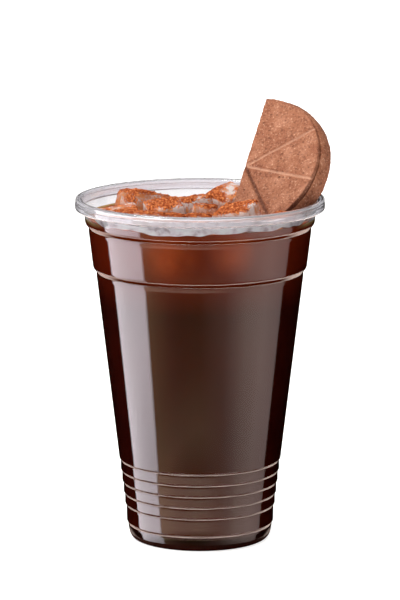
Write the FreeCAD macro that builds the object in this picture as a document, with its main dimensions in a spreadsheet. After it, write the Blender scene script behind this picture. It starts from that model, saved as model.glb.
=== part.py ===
"""An iced coffee in a clear thermoformed cup, with ice floating at the top and half a chocolate disc as a garnish.

The cup is a thin wall turned round Z: a foot with a recessed base, fine rings near the bottom, two stacking
shoulders under the neck and a rolled rim. The coffee fills it up to a level under the rim. Ice blocks float in
that level, and half a round moulded chocolate disc stands among them and leans on the rim. The frame's origin is
the middle of the foot, +Z is up, and lengths are in millimetres.
"""
import FreeCAD
import Part
import math
import os
import Sketcher
from FreeCAD import Placement, Rotation, Vector

# Driving dimensions: name, value (mm or degrees) and what it is.
SIZES = [
    ("cup_height", 136.3, "foot to the top of the rim"),
    ("rim_radius", 49.0, "outside of the rolled rim"),
    ("rim_roll", 1.5, "outside radius of the roll's two bends"),
    ("rim_depth", 4.4, "height of the rolled rim"),
    ("rim_overhang", 3.65, "rim's outside beyond the neck's"),
    ("neck_drop", 7.0, "rim's top down to where the neck starts to flare"),
    ("wall", 0.45, "thickness of the formed sheet"),
    ("base_radius", 27.9, "the tapering wall's radius carried down to the table"),
    ("shoulder_step", 0.9, "how far each stacking shoulder sets the wall in"),
    ("shoulder_height", 1.8, "height of a shoulder's sloping ledge"),
    ("shoulder_undercut", 0.3, "depth of the hollow under a shoulder"),
    ("upper_shoulder_drop", 10.6, "rim's top down to the middle of the upper shoulder"),
    ("lower_shoulder_drop", 28.1, "rim's top down to the middle of the lower shoulder"),
    ("ring_bottom", 13.0, "height of the lowest fine ring"),
    ("ring_pitch", 4.57, "spacing of the fine rings"),
    ("ring_width", 1.0, "height of a ring's notch"),
    ("ring_depth", 0.42, "depth of a ring's notch"),
    ("foot_ring_height", 5.7, "height of the notch above the foot"),
    ("foot_fillet", 3.0, "outside radius of the foot's corner"),
    ("contact_radius", 23.0, "inner edge of the ring that the cup stands on"),
    ("recess_radius", 21.0, "flat middle of the recessed base"),
    ("recess_height", 3.2, "how far the base is recessed"),
    ("coffee_drop", 7.1, "rim's top down to the coffee's level"),
    ("ice_gap", 0.4, "least space between the ice and the cup's wall"),
    ("ice_round", 1.7, "rounding of the melted ice edges"),
    ("ice_draft", 4.0, "taper of the moulded ice, in degrees"),
    ("disc_radius", 33.2, "back of the chocolate disc"),
    ("disc_thickness", 9.0, "whole thickness of the chocolate disc"),
    ("disc_inset", 1.9, "the scored face's edge in from the disc's radius"),
    ("disc_ledge", 0.7, "width of the ledge round the scored face"),
    ("disc_relief", 1.6, "height of the scored face above its ledge"),
    ("disc_edge", 0.9, "rounding of the disc's back edge"),
    ("disc_side", 3.4, "height of the straight lower part of the disc's side"),
    ("score_width", 2.1, "width of a scored groove"),
    ("score_depth", 1.1, "depth of a scored groove"),
    ("score_first", 34.5, "angle of the first groove from the cut face's normal, in degrees"),
    ("score_spread", 87.5, "angle from the first groove to the last, in degrees"),
    ("disc_turn", -32.8, "bearing that the scored face looks to, in degrees from -Y"),
    ("disc_lean", 50.9, "tilt of the disc from lying flat, in degrees"),
    ("disc_roll", -85.4, "turn of the disc in its own plane, in degrees"),
    ("disc_rise", 5.3, "centre of the disc's back above the rim's top"),
    ("disc_across", 15.4, "centre of the disc's back from the cup's middle, along Y"),
    ("disc_seat", 0.6, "the disc's edge in from the middle of the rim's roll"),
]
RING_COUNT = 5
SCORE_COUNT = 3
FULL_TURN = 360.0
HALF_TURN = 180.0

# Ice blocks, as shares of the cup's inner radius at the coffee's level: bearing from +X in degrees, reach of the
# block's middle, length, width, height, how high its middle stands over the level, then yaw, pitch and roll.
ICE = [
    (140.0, 0.661, 0.48, 0.45, 0.42, -0.078, 24, 16, -10),
    (189.8, 0.731, 0.42, 0.38, 0.36, -0.101, 8, -9, 6),
    (236.4, 0.642, 0.46, 0.42, 0.38, -0.073, 17, 8, -7),
    (306.1, 0.587, 0.38, 0.34, 0.36, -0.010, -28, -9, 12),
    (182.1, 0.316, 0.36, 0.34, 0.34, -0.042, 12, -7, 9),
    (294.9, 0.090, 0.25, 0.24, 0.33, -0.049, -4, 5, -5),
    (105.3, 0.737, 0.36, 0.33, 0.33, -0.140, 32, 10, 8),
    (65.2, 0.645, 0.36, 0.34, 0.38, -0.044, 38, -16, 12),
    (37.1, 0.814, 0.27, 0.26, 0.32, -0.073, -20, 12, -8),
    (328.3, 0.862, 0.23, 0.21, 0.28, -0.051, -28, 10, 4),
    (267.6, 0.827, 0.26, 0.22, 0.28, -0.060, 30, -6, 10),
    (268.4, 0.413, 0.24, 0.23, 0.29, -0.062, 25, 8, -9),
    (99.3, 0.247, 0.31, 0.28, 0.3, -0.019, 20, -8, -6),
    (295.6, 0.853, 0.23, 0.20, 0.27, -0.067, -25, 8, 8),
]

NECK = "(sizes.cup_height - sizes.neck_drop)"
SLOPE = (
    "((sizes.rim_radius - sizes.rim_overhang - 2 * sizes.shoulder_step - sizes.base_radius)"
    f" / {NECK})"
)
LEVEL = "(sizes.cup_height - sizes.coffee_drop)"
OUT = "parts"


def new_sheet(doc):
    """Puts the driving dimensions in a spreadsheet, one aliased cell each."""
    sheet = doc.addObject("Spreadsheet::Sheet", "sizes")
    for row, (name, value, meaning) in enumerate(SIZES, start=1):
        sheet.set(f"A{row}", name)
        sheet.set(f"B{row}", str(value))
        sheet.set(f"C{row}", meaning)
        sheet.setAlias(f"B{row}", name)
    doc.recompute()
    return sheet


def new_body(doc, name):
    """A PartDesign body whose label names its file."""
    body = doc.addObject("PartDesign::Body", name)
    body.Label = name
    return body


def new_sketch(body, name, plane, offset=None):
    """A sketch on one of its body's own origin planes, set off by a Placement in that plane's axes."""
    sketch = body.newObject("Sketcher::SketchObject", name)
    origin_plane = [f for f in body.Origin.OriginFeatures if f.Role == plane][0]
    sketch.AttachmentSupport = [(origin_plane, "")]
    sketch.MapMode = "FlatFace"
    if offset is not None:
        sketch.AttachmentOffset = offset
    return sketch


def fix_point(sketch, edge, end, across, up):
    """Holds a point of the sketch at two sheet expressions, or on an axis where one is zero."""
    for kind, axis, text in (("DistanceX", -2, across), ("DistanceY", -1, up)):
        value = float(sketch.evalExpression(text))
        if abs(value) < 1e-9:
            sketch.addConstraint(Sketcher.Constraint("PointOnObject", edge, end, axis))
            continue
        index = sketch.addConstraint(Sketcher.Constraint(kind, -1, 1, edge, end, value))
        sketch.setExpression(f"Constraints[{index}]", text)


def draw_outline(sketch, corners):
    """Draws a closed outline. A corner is (across, up), reached by a straight edge, or
    (across, up, centre_across, centre_up), reached by an arc of under half a turn. All are sheet expressions."""

    def value(text):
        return float(sketch.evalExpression(text))

    points = [Vector(value(c[0]), value(c[1]), 0) for c in corners]
    ends = []
    for index, corner in enumerate(corners):
        start, end = points[index - 1], points[index]
        if len(corner) == 2:
            edge = sketch.addGeometry(Part.LineSegment(start, end), False)
            ends.append((edge, 1, 2))
            continue
        centre = Vector(value(corner[2]), value(corner[3]), 0)
        first, last = start - centre, end - centre
        forward = first.cross(last).z > 0
        if not forward:
            first, last = last, first
        begin = math.atan2(first.y, first.x)
        sweep = first.getAngle(last)
        circle = Part.Circle(centre, Vector(0, 0, 1), first.Length)
        edge = sketch.addGeometry(Part.ArcOfCircle(circle, begin, begin + sweep), False)
        ends.append((edge, 1, 2) if forward else (edge, 2, 1))
        held = sketch.addConstraint(
            Sketcher.Constraint("DistanceY", -1, 1, edge, 3, centre.y)
        )
        sketch.setExpression(f"Constraints[{held}]", corner[3])
    for index, corner in enumerate(corners):
        edge, _, finish = ends[index]
        follower, start, _ = ends[(index + 1) % len(corners)]
        sketch.addConstraint(
            Sketcher.Constraint("Coincident", edge, finish, follower, start)
        )
        fix_point(sketch, edge, finish, corner[0], corner[1])


def turned(body, name, corners, degrees=FULL_TURN):
    """A solid of revolution round the body's Z axis, from an outline in its XZ plane."""
    sketch = new_sketch(body, name + "Section", "XZ_Plane")
    draw_outline(sketch, corners)
    solid = body.newObject("PartDesign::Revolution", name)
    solid.Profile = sketch
    solid.ReferenceAxis = (sketch, ["V_Axis"])
    solid.Angle = degrees
    return solid


def cone(height, shoulders=0):
    """Outside radius of the tapering wall at a height, with as many shoulders below it."""
    return f"(sizes.base_radius + ({height}) * {SLOPE} + {shoulders} * sizes.shoulder_step)"


def wall_chain(inset):
    """Corners of the side wall from just above the foot's corner up to the neck, set in by a thickness."""
    half = "sizes.ring_width / 2"
    foot = cone("sizes.foot_ring_height")
    chain = [
        (foot, "sizes.foot_fillet"),
        (foot, f"sizes.foot_ring_height - {half}"),
        (f"{foot} - sizes.ring_depth", "sizes.foot_ring_height"),
        (cone(f"sizes.foot_ring_height + {half}"), f"sizes.foot_ring_height + {half}"),
    ]
    for ring in range(RING_COUNT):
        middle = f"(sizes.ring_bottom + {ring} * sizes.ring_pitch)"
        chain += [
            (cone(f"{middle} - sizes.ring_pitch / 2"), f"{middle} - {half}"),
            (f"{cone(middle)} - sizes.ring_depth", middle),
            (cone(f"{middle} + sizes.ring_pitch / 2"), f"{middle} + {half}"),
        ]
    for below, drop in enumerate(("lower_shoulder_drop", "upper_shoulder_drop")):
        middle = f"(sizes.cup_height - sizes.{drop})"
        under = f"({middle} - sizes.shoulder_height / 2)"
        over = f"({middle} + sizes.shoulder_height / 2)"
        hollow = f"({under} - sizes.shoulder_height / 2)"
        chain += [
            (cone(hollow, below), hollow),
            (f"{cone(under, below)} - sizes.shoulder_undercut", under),
            (cone(over, below + 1), over),
        ]
    chain.append((cone(NECK, 2), NECK))
    return [(f"{radius} - {inset}", height) for radius, height in chain]


def rim_roll():
    """Corners of the rolled rim, from the neck's outside round inside the roll and back over it to the mouth."""
    middle = "(sizes.rim_radius - sizes.rim_roll)"
    top = "(sizes.cup_height - sizes.rim_roll)"
    bottom = "(sizes.cup_height - sizes.rim_depth + sizes.rim_roll)"
    inside = "(sizes.rim_roll - sizes.wall)"
    return [
        (f"{middle} - {inside}", bottom),
        (f"{middle} - {inside}", top),
        (middle, f"{top} + {inside}", middle, top),
        (f"{middle} + {inside}", top, middle, top),
        (f"{middle} + {inside}", bottom),
        (middle, f"{bottom} - {inside}", middle, bottom),
        (middle, f"{bottom} - sizes.rim_roll"),
        ("sizes.rim_radius", bottom, middle, bottom),
        ("sizes.rim_radius", top),
        (middle, "sizes.cup_height", middle, top),
        (f"{middle} - sizes.rim_roll", top, middle, top),
        (f"{middle} - sizes.rim_roll", bottom),
    ]


def base_floor(lift):
    """Corners of the base from the middle out to the ring that the cup stands on, set in by a thickness."""
    return [
        ("0", f"sizes.recess_height + {lift}"),
        (f"sizes.recess_radius + {lift} / 2", f"sizes.recess_height + {lift}"),
        (f"sizes.contact_radius + {lift} / 2", lift),
        (f"{cone('sizes.foot_ring_height')} - sizes.foot_fillet", lift),
    ]


def foot_corner(inset):
    """The rounded corner from the standing ring up to the side wall."""
    foot = cone("sizes.foot_ring_height")
    centre = f"{foot} - sizes.foot_fillet"
    return (f"{foot} - {inset}", "sizes.foot_fillet", centre, "sizes.foot_fillet")


def make_cup(doc):
    """The thin formed cup, as one turned wall section."""
    body = new_body(doc, "cup")
    outside = base_floor("0") + [foot_corner("0")] + wall_chain("0")[1:]
    inside = base_floor("sizes.wall") + [foot_corner("sizes.wall")] + wall_chain("sizes.wall")[1:]
    centre = inside[4][2:]
    back = [corner[:2] for corner in reversed(inside)]
    back[-4] = back[-4] + centre
    turned(body, "CupWall", outside + rim_roll() + back)
    return body


def make_coffee(doc, sunk):
    """The coffee: the cup's inside up to the level, less what stands or floats in it."""
    fill = new_body(doc, "coffee_fill")
    corners = base_floor("sizes.wall") + [foot_corner("sizes.wall")] + wall_chain("sizes.wall")[1:-1]
    corners += [(f"{cone(LEVEL, 2)} - sizes.wall", LEVEL), ("0", LEVEL)]
    turned(fill, "CoffeeFill", corners)
    displaced = doc.addObject("Part::MultiFuse", "displaced")
    displaced.Shapes = sunk
    coffee = doc.addObject("Part::Cut", "coffee")
    coffee.Base = fill
    coffee.Tool = displaced
    coffee.Label = "coffee"
    return coffee


def make_ice(doc, number, block):
    """One moulded block of ice with melted edges, its middle at its body's origin, floating in the coffee."""
    bearing, reach, length, width, height, lift, yaw, pitch, roll = block
    mouth = f"({cone(LEVEL, 1)} - sizes.wall - sizes.ice_gap)"
    right, back = f"{length / 2} * {mouth}", f"{width / 2} * {mouth}"
    body = new_body(doc, f"ice_{number}")
    sketch = new_sketch(body, f"IceFace{number}", "XY_Plane")
    sketch.setExpression("AttachmentOffset.Base.z", f"-{height / 2} * {mouth}")
    draw_outline(
        sketch,
        [(f"-{right}", f"-{back}"), (right, f"-{back}"), (right, back), (f"-{right}", back)],
    )
    pad = body.newObject("PartDesign::Pad", f"IceBlock{number}")
    pad.Profile = sketch
    pad.setExpression("Length", f"{height} * {mouth}")
    pad.setExpression("TaperAngle", "-sizes.ice_draft")
    doc.recompute()
    rounding = body.newObject("PartDesign::Fillet", f"IceMelt{number}")
    rounding.Base = (pad, ["Edge1"])
    rounding.UseAllEdges = True
    rounding.setExpression("Radius", "sizes.ice_round")
    body.Placement = Placement(Vector(), Rotation(yaw, pitch, roll))
    body.setExpression("Placement.Base.x", f"{reach} * {mouth} * cos({bearing} * 1 deg)")
    body.setExpression("Placement.Base.y", f"{reach} * {mouth} * sin({bearing} * 1 deg)")
    body.setExpression("Placement.Base.z", f"{LEVEL} + {lift} * {mouth}")
    return body


def disc_place(sheet):
    """Where the chocolate disc's back sits: tilted as the sheet says, its edge against the rim's roll."""

    def size(name):
        return float(sheet.evalExpression("sizes." + name))

    turn = (
        Rotation(Vector(0, 0, 1), size("disc_turn"))
        * Rotation(Vector(1, 0, 0), size("disc_lean"))
        * Rotation(Vector(0, 0, 1), size("disc_roll"))
    )
    across, along = turn.multVec(Vector(1, 0, 0)), turn.multVec(Vector(0, 1, 0))
    steep = math.hypot(across.z, along.z)
    angle = math.asin(-size("disc_rise") / (size("disc_radius") * steep)) - math.atan2(across.z, along.z)
    edge = (across * math.cos(angle) + along * math.sin(angle)) * size("disc_radius")
    seat = size("rim_radius") - size("rim_roll") - size("disc_seat")
    reach = math.sqrt(seat**2 - (size("disc_across") + edge.y) ** 2) - edge.x
    return Placement(
        Vector(reach, size("disc_across"), size("cup_height") + size("disc_rise")), turn
    )


def make_chocolate(doc, sheet):
    """Half of a round moulded chocolate disc: drafted side, raised face scored into wedges, one side cut straight."""
    body = new_body(doc, "chocolate_half")
    face = "(sizes.disc_radius - sizes.disc_inset)"
    ledge = "(sizes.disc_thickness - sizes.disc_relief)"
    back = "(sizes.disc_radius - sizes.disc_edge)"
    outline = [
        ("0", "0"),
        (back, "0"),
        ("sizes.disc_radius", "sizes.disc_edge", back, "sizes.disc_edge"),
        ("sizes.disc_radius", "sizes.disc_side"),
        (f"{face} + sizes.disc_ledge", ledge),
        (face, ledge),
        (face, "sizes.disc_thickness"),
        ("0", "sizes.disc_thickness"),
    ]
    turned(body, "HalfDisc", outline, HALF_TURN)
    score = new_sketch(body, "ScoreSection", "XZ_Plane")
    score.AttachmentOffset = Placement(Vector(), Rotation(Vector(0, 1, 0), 1))
    score.setExpression("AttachmentOffset.Rotation.Angle", "sizes.score_first * 1 deg")
    draw_outline(
        score,
        [
            ("sizes.score_width / 2", "sizes.disc_thickness"),
            ("0", "sizes.disc_thickness - sizes.score_depth"),
            ("-sizes.score_width / 2", "sizes.disc_thickness"),
        ],
    )
    groove = body.newObject("PartDesign::Pocket", "ScoredGroove")
    groove.Profile = score
    groove.setExpression("Length", "sizes.disc_radius")
    grooves = body.newObject("PartDesign::PolarPattern", "ScoredGrooves")
    grooves.Originals = [groove]
    grooves.Axis = ([f for f in body.Origin.OriginFeatures if f.Role == "Z_Axis"][0], [""])
    grooves.Reversed = True
    grooves.setExpression("Angle", "sizes.score_spread * 1 deg")
    grooves.Occurrences = SCORE_COUNT
    body.Tip = grooves
    body.Placement = disc_place(sheet)
    return body


def export(parts):
    """Writes one STEP file a node, once every shape is sound."""
    os.makedirs(OUT, exist_ok=True)
    for part in parts:
        if part.Shape.isNull() or not part.Shape.isValid():
            raise RuntimeError(f"{part.Label} has no sound shape")
        part.Shape.exportStep(f"{OUT}/{part.Label}.step")


def main():
    doc = FreeCAD.newDocument("IcedCoffee")
    sheet = new_sheet(doc)
    cup = make_cup(doc)
    chocolate = make_chocolate(doc, sheet)
    ice = [make_ice(doc, number, block) for number, block in enumerate(ICE, start=1)]
    coffee = make_coffee(doc, ice + [chocolate])
    doc.recompute()
    for item in doc.Objects:
        if "Invalid" in item.State or "Error" in item.State:
            raise RuntimeError(f"{item.Label} didn't compute: {item.State}")
    export([cup, coffee, chocolate] + ice)


main()
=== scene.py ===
import bmesh
import bpy
import numpy as np
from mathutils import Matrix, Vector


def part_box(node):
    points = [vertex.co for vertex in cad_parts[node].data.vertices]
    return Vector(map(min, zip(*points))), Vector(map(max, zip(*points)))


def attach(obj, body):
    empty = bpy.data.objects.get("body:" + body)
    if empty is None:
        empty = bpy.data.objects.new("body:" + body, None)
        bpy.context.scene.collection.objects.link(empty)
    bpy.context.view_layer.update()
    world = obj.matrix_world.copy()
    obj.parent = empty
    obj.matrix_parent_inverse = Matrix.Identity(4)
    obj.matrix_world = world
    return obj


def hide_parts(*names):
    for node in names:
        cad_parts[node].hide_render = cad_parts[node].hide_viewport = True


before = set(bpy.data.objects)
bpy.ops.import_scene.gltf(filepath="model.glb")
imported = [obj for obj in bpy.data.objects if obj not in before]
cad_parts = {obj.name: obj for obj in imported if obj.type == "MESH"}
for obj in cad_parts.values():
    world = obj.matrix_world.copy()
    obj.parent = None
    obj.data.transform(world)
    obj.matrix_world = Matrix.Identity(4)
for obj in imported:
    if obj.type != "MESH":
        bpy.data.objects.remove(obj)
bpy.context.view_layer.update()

# --------------------------------------------------------------------------------------------------
# The cup. Clear PET sheet, drawn hot into a tapered mould: a recessed foot, fine stiffening rings low on
# the wall, two stacking shoulders under the neck, and a rim rolled outwards into a hollow bead that a lid
# can grip.
# --------------------------------------------------------------------------------------------------
MM = 0.001
CUP_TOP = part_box("cup")[1][2] / MM
RIM_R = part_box("cup")[1][0] / MM
WALL = 0.45
RIM_ROLL, RIM_DEPTH = 1.5, 4.4
NECK_Z = CUP_TOP - 7.0
# The wall's radius carried down to the table, and what it gains for each millimetre of height.
TABLE_R, TAPER = 27.9, 0.12104
# The raised middle of the base, then the inner and outer edges of the ring that the cup stands on.
RECESS_R, RECESS_Z, STAND_IN_R, STAND_OUT_R = 21.0, 3.2, 23.0, 26.5
# The heel, where the base turns up into the wall.
HEEL_R, HEEL_Z = 27.93, 1.8
# Five fine rings, 4.57 mm apart. Each is a notch. The wall between two notches stands nearly upright: at a
# notch's edges it has the taper's radius BAND_REACH millimetres away.
RING_Z = 13.0 + 4.57 * np.arange(5)
NOTCH, BAND_REACH = 0.42, 2.2
# Two shoulders. Under each ledge the wall is hollowed, and the ledge sets it out by SHOULDER_STEP.
SHOULDER_Z = CUP_TOP - np.array([28.1, 10.6])
SHOULDER_STEP, SHOULDER_HALF, HOLLOW = 0.9, 0.9, 0.3
CUP_TURNS = 192


def cone(z, shoulders=0):
    """Outside radius of the tapering wall at height z, after a number of shoulders."""
    return TABLE_R + TAPER * z + SHOULDER_STEP * shoulders


def soften(corners, steps=6):
    """Rounds the corners (r, z, reach) of a profile. Each becomes a parabola that leaves both edges at its
    reach, or at 45% of the shorter edge: (1-t)^2 start + 2t(1-t) corner + t^2 end."""
    corners = np.asarray(corners, float)
    spot = corners[:, :2]
    run = np.diff(spot, axis=0)
    length = np.hypot(run[:, 0], run[:, 1])
    run = run / length[:, None]
    reach = np.zeros(len(spot))
    reach[1:-1] = np.minimum(corners[1:-1, 2], 0.45 * np.minimum(length[:-1], length[1:]))
    start, end = spot.copy(), spot.copy()
    start[1:] -= run * reach[1:, None]
    end[:-1] += run * reach[:-1, None]
    t = np.linspace(0, 1, steps)[None, :, None]
    curve = (1 - t) ** 2 * start[:, None] + 2 * t * (1 - t) * spot[:, None] + t**2 * end[:, None]
    curve = curve.reshape(-1, 2)
    keep = np.r_[True, np.hypot(*np.diff(curve, axis=0).T) > 1e-4]
    return curve[keep]


def wall_corners():
    """The outside of the side wall from the heel to the neck, as profile corners. The upper side of each
    notch faces down at about 28 degrees, so it mirrors the table's light as a fine bright line."""
    foot_top = cone(5.2)
    rows = [(HEEL_R, HEEL_Z, 1.5), (foot_top, 5.1, 0.3), (foot_top - 0.2, 5.6, 0.2)]
    rows += [(foot_top + 0.15, 6.3, 0.15), (cone(9.4), 6.8, 0.3)]
    for z in RING_Z:
        rows += [(cone(z - BAND_REACH), z - 0.55, 0.35), (cone(z) - NOTCH, z, 0.2)]
        rows += [(cone(z) - 0.10, z + 0.6, 0.15), (cone(z + BAND_REACH), z + 1.0, 0.3)]
    for below, z in enumerate(SHOULDER_Z):
        rows += [(cone(z - 2.4, below), z - 2.2, 0.8)]
        rows += [(cone(z - SHOULDER_HALF, below) - HOLLOW, z - SHOULDER_HALF, 0.5)]
        rows += [(cone(z + SHOULDER_HALF, below + 1), z + SHOULDER_HALF, 0.7)]
    return rows + [(cone(NECK_Z, 2), NECK_Z, 0.7)]


def foot_corners(lift):
    """The base from its middle out to the standing ring, set in by a thickness."""
    rows = [(0.0, RECESS_Z + lift, 0), (RECESS_R + lift / 2, RECESS_Z + lift, 1.4)]
    return rows + [(STAND_IN_R + lift / 2, lift, 0.9), (STAND_OUT_R - lift / 2, lift, 1.3)]


def inside_of(rows):
    """The same corners on the inner face of the wall."""
    return [(r - WALL, z, reach) for r, z, reach in rows]


def turn(profile, count):
    """A profile (r, z) turned once round Z: x = r cos a, y = r sin a. Returns its points and its faces."""
    angle = np.linspace(0, 2 * np.pi, count, endpoint=False)
    r, z = profile[:, 0][:, None], profile[:, 1][:, None]
    points = np.stack([r * np.cos(angle), r * np.sin(angle), z + 0 * angle], -1).reshape(-1, 3)
    row, col = np.meshgrid(np.arange(len(profile) - 1), np.arange(count), indexing="ij")
    here, along = row * count + col, row * count + (col + 1) % count
    faces = np.stack([here, along, along + count, here + count], -1).reshape(-1, 4)
    return points, faces


def make_mesh(name, points, faces):
    """A mesh in metres from points in millimetres: doubles merged, empty faces dropped, normals out."""
    mesh = bpy.data.meshes.new(name)
    mesh.from_pydata((points * MM).tolist(), [], faces.tolist())
    work = bmesh.new()
    work.from_mesh(mesh)
    bmesh.ops.remove_doubles(work, verts=work.verts, dist=2e-6)
    bmesh.ops.dissolve_degenerate(work, edges=work.edges, dist=1e-7)
    bmesh.ops.recalc_face_normals(work, faces=work.faces)
    work.to_mesh(mesh)
    work.free()
    mesh.polygons.foreach_set("use_smooth", np.ones(len(mesh.polygons), bool))
    return mesh


def add_piece(mesh, material, slot, *nodes):
    """Puts a finished mesh in the scene on the root body, in place of the CAD nodes named."""
    piece = bpy.data.objects.new(mesh.name, mesh)
    bpy.context.collection.objects.link(piece)
    mesh.materials.append(material)
    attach(piece, "root")
    if nodes:
        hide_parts(*nodes)
    return piece


def linear(code):
    """An sRGB hex colour as linear red, green, blue and full alpha."""
    part = np.array([int(code[k:k + 2], 16) for k in (1, 3, 5)]) / 255
    part = np.where(part <= 0.04045, part / 12.92, ((part + 0.055) / 1.055) ** 2.4)
    return (*part.tolist(), 1.0)


def add_node(tree, kind, settings):
    """Adds a node. A setting is an input's name or number, one of the node's own properties, or a ramp's
    stops as (place, sRGB hex). A value that is a socket is linked."""
    node = tree.nodes.new("ShaderNode" + kind)
    for key, value in settings.items():
        if key == "stops":
            stops = node.color_ramp.elements
            while len(stops) < len(value):
                stops.new(0.5)
            for stop, (place, code) in zip(stops, value):
                stop.position, stop.color = place, linear(code)
        elif not (isinstance(key, int) or key in node.inputs):
            setattr(node, key, value)
        elif isinstance(value, bpy.types.NodeSocket):
            tree.links.new(value, node.inputs[key])
        else:
            node.inputs[key].default_value = value
    return node


def new_material(name):
    """A material with only its output, and its node tree."""
    material = bpy.data.materials.new(name)
    material.use_nodes = True
    material.node_tree.nodes.clear()
    return material, material.node_tree


def rim_corners():
    """The rolled rim: up from the neck, over inside the hollow roll, round its lip, and back outside."""
    half, mid = RIM_ROLL, RIM_R - RIM_ROLL
    top, low, slack = CUP_TOP - half, CUP_TOP - RIM_DEPTH + half, half - WALL
    inside = [(mid - slack - 0.45, low - 2.0, 0.9), (mid - slack, low, 0.5)]
    inside += [(mid - slack, top + slack, slack), (mid + slack, top + slack, slack)]
    lip = [(mid + slack, low - slack, slack), (mid - 0.7, low - slack, 0.1), (mid - 0.7, low - half, 0.1)]
    outside = [(RIM_R, low - half, half), (RIM_R, CUP_TOP - 2.1, 0.25), (RIM_R - 0.22, CUP_TOP - 1.9, 0.2)]
    outside += [(RIM_R - 0.05, CUP_TOP, half), (RIM_R - 2 * half, CUP_TOP, half)]
    outside += [(RIM_R - 2 * half, low - 0.2, 0.6)]
    return inside + lip + outside


side = wall_corners()
cup_outline = foot_corners(0.0) + side + rim_corners()
cup_outline += inside_of(side)[::-1] + foot_corners(WALL)[::-1]
cup_mesh = make_mesh("cup_shell", *turn(soften(cup_outline), CUP_TURNS))

# PET is clear with a very slight grey-violet edge, and glossy. Drawn sheet is never quite even: the wall
# thins in long upright waves, 9 mm apart. The rim is rolled while warm, which clouds it a little. Its index
# of refraction is about 1.57.
clear_pet, tree = new_material("drawn_clear_pet")
place = add_node(tree, "TexCoord", {}).outputs["Object"]
stretched = add_node(tree, "Mapping", {"Vector": place, "Scale": (1.0, 1.0, 0.18)}).outputs["Vector"]
draw_marks = add_node(tree, "TexNoise", {
    "Vector": stretched, "Scale": 1 / (9 * MM), "Detail": 2.0}).outputs[0]
uneven = add_node(tree, "Bump", {"Height": draw_marks, "Strength": 0.05, "Distance": 0.4 * MM})
height = add_node(tree, "SeparateXYZ", {"Vector": place}).outputs["Z"]
clouded = add_node(tree, "MapRange", {
    "Value": height, "From Min": (CUP_TOP - 6.0) * MM, "From Max": (CUP_TOP - 3.6) * MM}).outputs[0]
rim_rough = add_node(tree, "MapRange", {"Value": clouded, "To Min": 0.02, "To Max": 0.04}).outputs[0]
rim_clear = add_node(tree, "MapRange", {"Value": clouded, "To Min": 1.0, "To Max": 0.89}).outputs[0]
pet_colour = add_node(tree, "ValToRGB", {
    "Fac": clouded, "stops": [(0.0, "#fbf9fb"), (1.0, "#fdfbff")]}).outputs["Color"]
pet = add_node(tree, "BsdfPrincipled", {
    "Base Color": pet_colour, "Roughness": rim_rough, "IOR": 1.57, "Transmission Weight": rim_clear,
    "Normal": uneven.outputs["Normal"]})
add_node(tree, "OutputMaterial", {"Surface": pet.outputs[0]})
add_piece(cup_mesh, clear_pet, "clear_plastic", "cup")

# --------------------------------------------------------------------------------------------------
# The coffee. Cold black coffee, poured in up to about the neck. It wets the wall, so its body reaches just
# into the plastic and its edge climbs the wall in a small meniscus.
# --------------------------------------------------------------------------------------------------
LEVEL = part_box("coffee")[1][2] / MM
WETTED = 0.12
coffee_side = [(r + WETTED, z, reach) for r, z, reach in inside_of(side) if z < LEVEL]
coffee_floor = [(r + (WETTED if r > STAND_IN_R + 1 else 0), z - WETTED, reach)
                for r, z, reach in foot_corners(WALL)]
edge_r = cone(LEVEL, 2) - WALL + WETTED
OPEN_Z = LEVEL - 1.0  # the level surface, a meniscus lower than the wetted edge
meniscus = [(edge_r, LEVEL - 0.3, 0.1), (edge_r - 0.05, LEVEL, 0.1), (edge_r - 0.8, LEVEL - 0.75, 0.8)]
meniscus += [(edge_r - 2.4, OPEN_Z, 0.8), (0.0, OPEN_Z, 0)]
coffee_mesh = make_mesh("coffee_body", *turn(soften(coffee_floor + coffee_side + meniscus), 160))

# Black coffee reads near-black red in depth and red-brown in its top part, where the ice in it passes light,
# so its colour follows the height: the lighter red-brown top is painted light. Ice just under the surface of
# real coffee glows orange through it. This coffee is opaque, so the glows are painted on it: each has a
# place and a reach in metres, and a strength.
# Fine foam is tan along the edge at the back.
ORANGE_GLOWS = [((-0.0120, -0.0400, 0.1195), 0.014, 0.9), ((0.0130, -0.0405, 0.1215), 0.012, 0.85),
                ((0.0300, 0.0300, 0.1180), 0.018, 1.0), ((-0.0330, 0.0260, 0.1160), 0.016, 0.8)]
black_coffee, tree = new_material("cold_black_coffee")
place = add_node(tree, "TexCoord", {}).outputs["Object"]
height = add_node(tree, "SeparateXYZ", {"Vector": place}).outputs["Z"]
rise = add_node(tree, "MapRange", {"Value": height, "From Min": 0.0, "From Max": LEVEL * MM}).outputs[0]
# Painted light: the ramp turns red-brown over the top part, standing in for light that the ice passes.
coffee_colour = add_node(tree, "ValToRGB", {"Fac": rise, "stops": [
    (0.0, "#3a0f08"), (0.035, "#200a05"), (0.05, "#451105"), (0.36, "#3a0a04"), (0.60, "#441107"),
    (0.74, "#3f1007"), (0.86, "#70210c"), (1.0, "#84290e")]}).outputs["Color"]
clouds = add_node(tree, "TexNoise", {"Vector": place, "Scale": 1 / (9 * MM), "Detail": 3.0}).outputs[0]
for glow_place, reach, share in ORANGE_GLOWS:
    gap = add_node(tree, "VectorMath", {"operation": "DISTANCE", 0: place, 1: glow_place}).outputs["Value"]
    near = add_node(tree, "MapRange", {
        "interpolation_type": "SMOOTHSTEP", "Value": gap, "From Min": reach, "From Max": 0.0,
        "To Max": share}).outputs[0]
    cloud_share = add_node(tree, "Math", {"operation": "MULTIPLY", 0: near, 1: clouds}).outputs[0]
    coffee_colour = add_node(tree, "Mix", {
        "data_type": "RGBA", 0: cloud_share, 6: coffee_colour, 7: linear("#d8622a")}).outputs[2]
away = add_node(tree, "SeparateXYZ", {"Vector": place}).outputs["Y"]
foam = add_node(tree, "MapRange", {"Value": away, "From Min": -26 * MM, "From Max": -18 * MM}).outputs[0]
foam_edge = add_node(tree, "MapRange", {"Value": rise, "From Min": 0.986, "From Max": 1.0}).outputs[0]
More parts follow.
